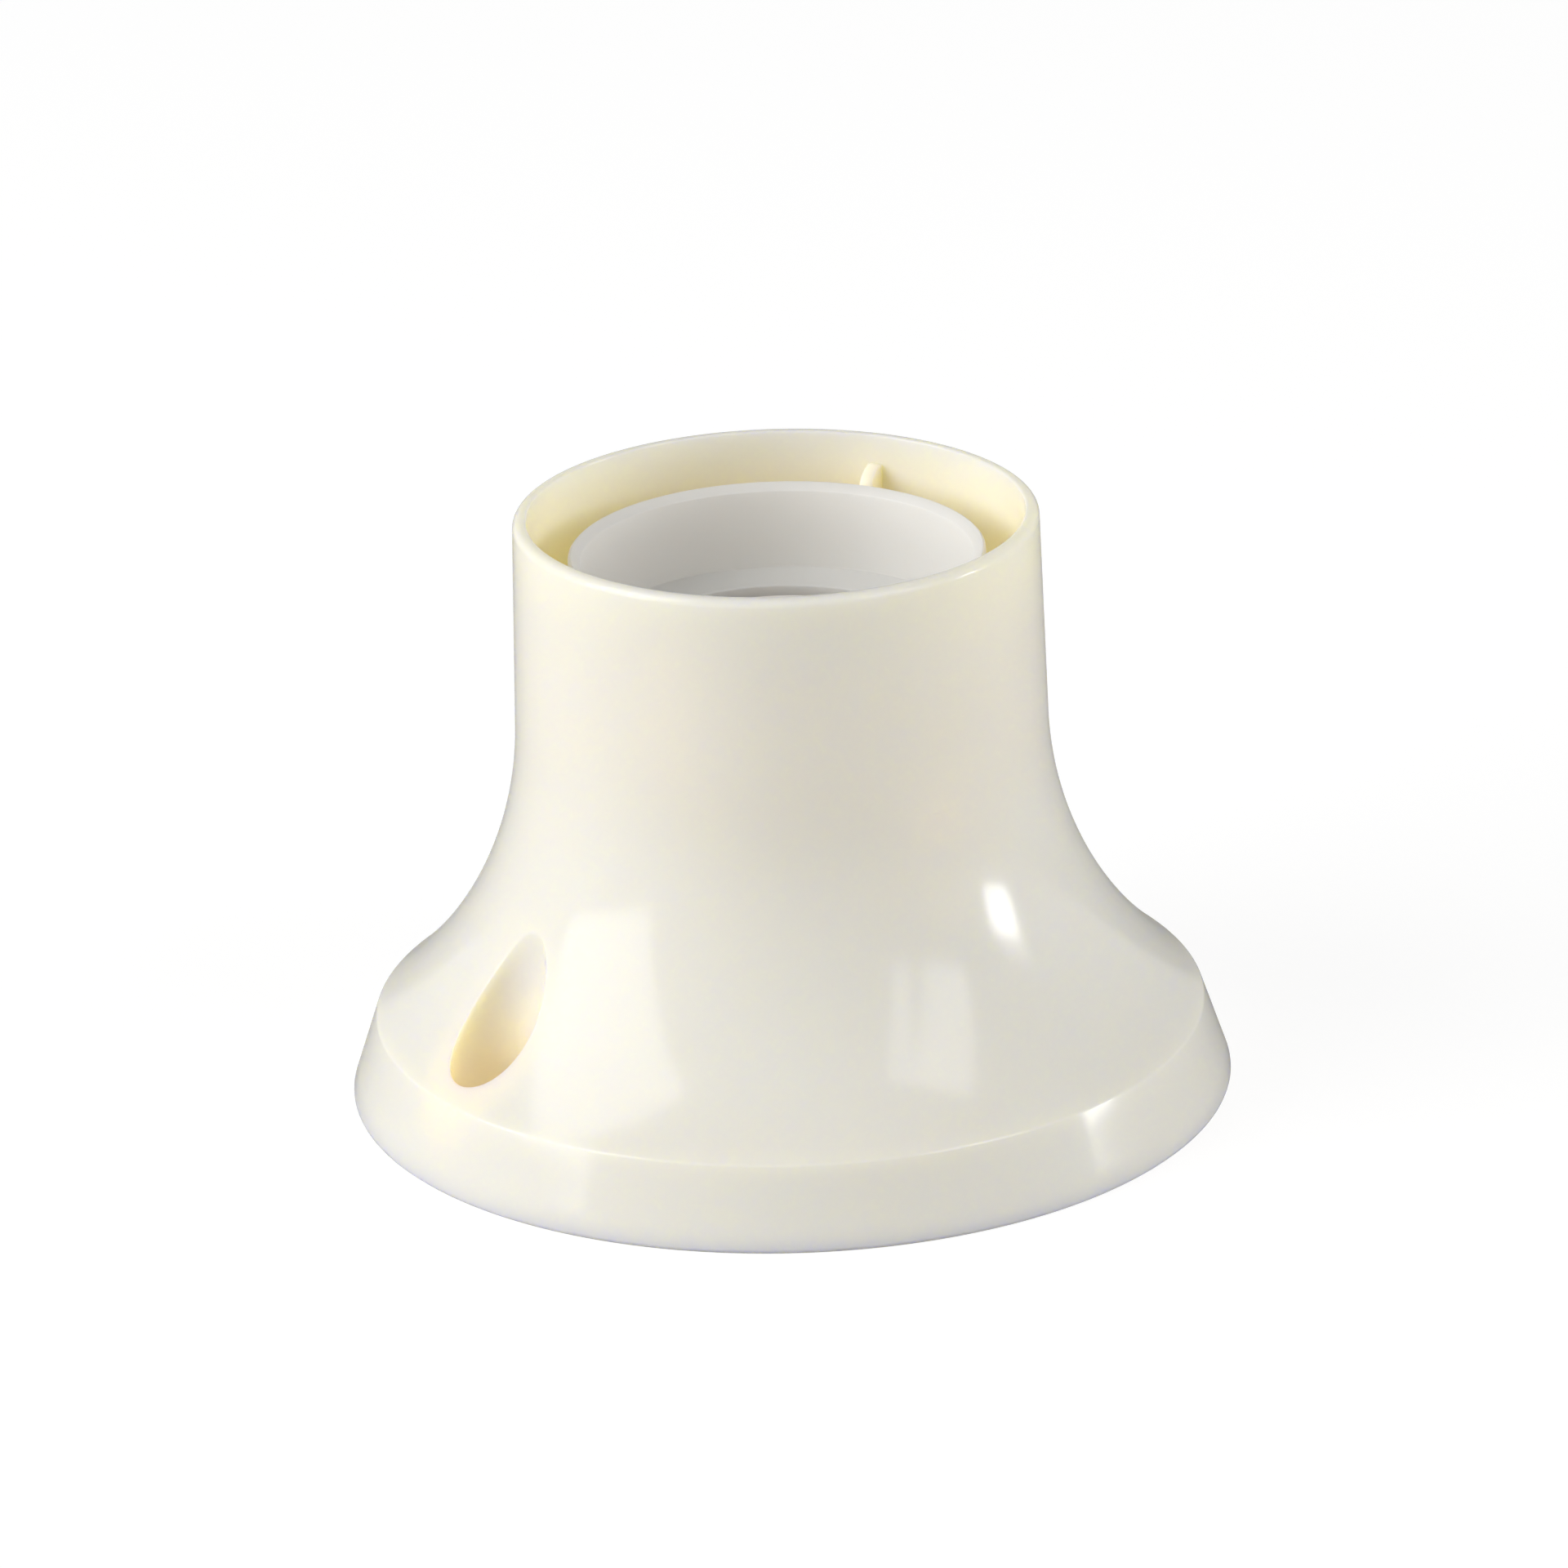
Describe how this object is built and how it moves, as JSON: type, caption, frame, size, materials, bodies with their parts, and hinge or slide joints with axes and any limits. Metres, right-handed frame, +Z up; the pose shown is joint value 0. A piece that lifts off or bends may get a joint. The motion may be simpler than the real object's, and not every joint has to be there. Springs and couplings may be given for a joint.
{
  "type": "lamp holder",
  "caption": "Surface-mounted screw-cap lamp holder: bell housing with screw wells in its flare, insulating barrel, rolled screw shell, sprung centre contact and screw terminals underneath.",
  "frame": {"origin": "centre of the housing's foot, on the surface that it is screwed to", "axes": "+Z up along the lamp axis, out of the mouth; the two screw wells lie on +X and -X"},
  "size_m": [0.0818, 0.0818, 0.0554],
  "materials": {
    "cream_plastic": "gloss",
    "white_plastic": "satin",
    "nickel_plate": "satin",
    "spring_bronze": "satin",
    "contact_brass": "satin",
    "zinc_steel": "satin"
  },
  "bodies": {
    "housing": {"bell_housing": "cream_plastic", "socket_barrel": "white_plastic", "terminal_base": "white_plastic", "screw_shell": "nickel_plate", "centre_contact_spring": "spring_bronze", "live_terminal_plate": "contact_brass", "neutral_terminal_plate": "contact_brass", "live_rivet": "contact_brass", "neutral_rivet": "contact_brass", "fixing_screw_1": "zinc_steel", "fixing_screw_2": "zinc_steel"},
    "contact_button": {"centre_contact_tip": "contact_brass"},
    "live_washer": {"live_clamp_washer": "zinc_steel"},
    "live_screw": {"live_terminal_screw": "zinc_steel"},
    "neutral_washer": {"neutral_clamp_washer": "zinc_steel"},
    "neutral_screw": {"neutral_terminal_screw": "zinc_steel"}
  },
  "joints": [
    {"name": "centre_contact_press", "type": "slide", "parent": "housing", "child": "contact_button", "axis": [0, 0, -1], "range_m": [0, 0.0015], "stiffness_N_per_m": 2000, "deforming": ["centre_contact_spring"]},
    {"name": "live_washer_slide", "type": "slide", "parent": "housing", "child": "live_washer", "axis": [0, 0, -1], "range_m": [0, 0.003]},
    {"name": "live_screw_turn", "type": "hinge", "parent": "live_washer", "child": "live_screw", "pos_m": [-0.0145, 0, 0.011], "axis": [0, 0, -1], "range_deg": [0, 1800]},
    {"name": "neutral_washer_slide", "type": "slide", "parent": "housing", "child": "neutral_washer", "axis": [0, 0, -1], "range_m": [0, 0.003]},
    {"name": "neutral_screw_turn", "type": "hinge", "parent": "neutral_washer", "child": "neutral_screw", "pos_m": [0.0145, 0, 0.011], "axis": [0, 0, -1], "range_deg": [0, 1800]}
  ],
  "couplings": [
    {"joint": "live_screw_turn", "follows": "live_washer_slide", "rad_per_m": 10472},
    {"joint": "neutral_screw_turn", "follows": "neutral_washer_slide", "rad_per_m": 10472}
  ]
}
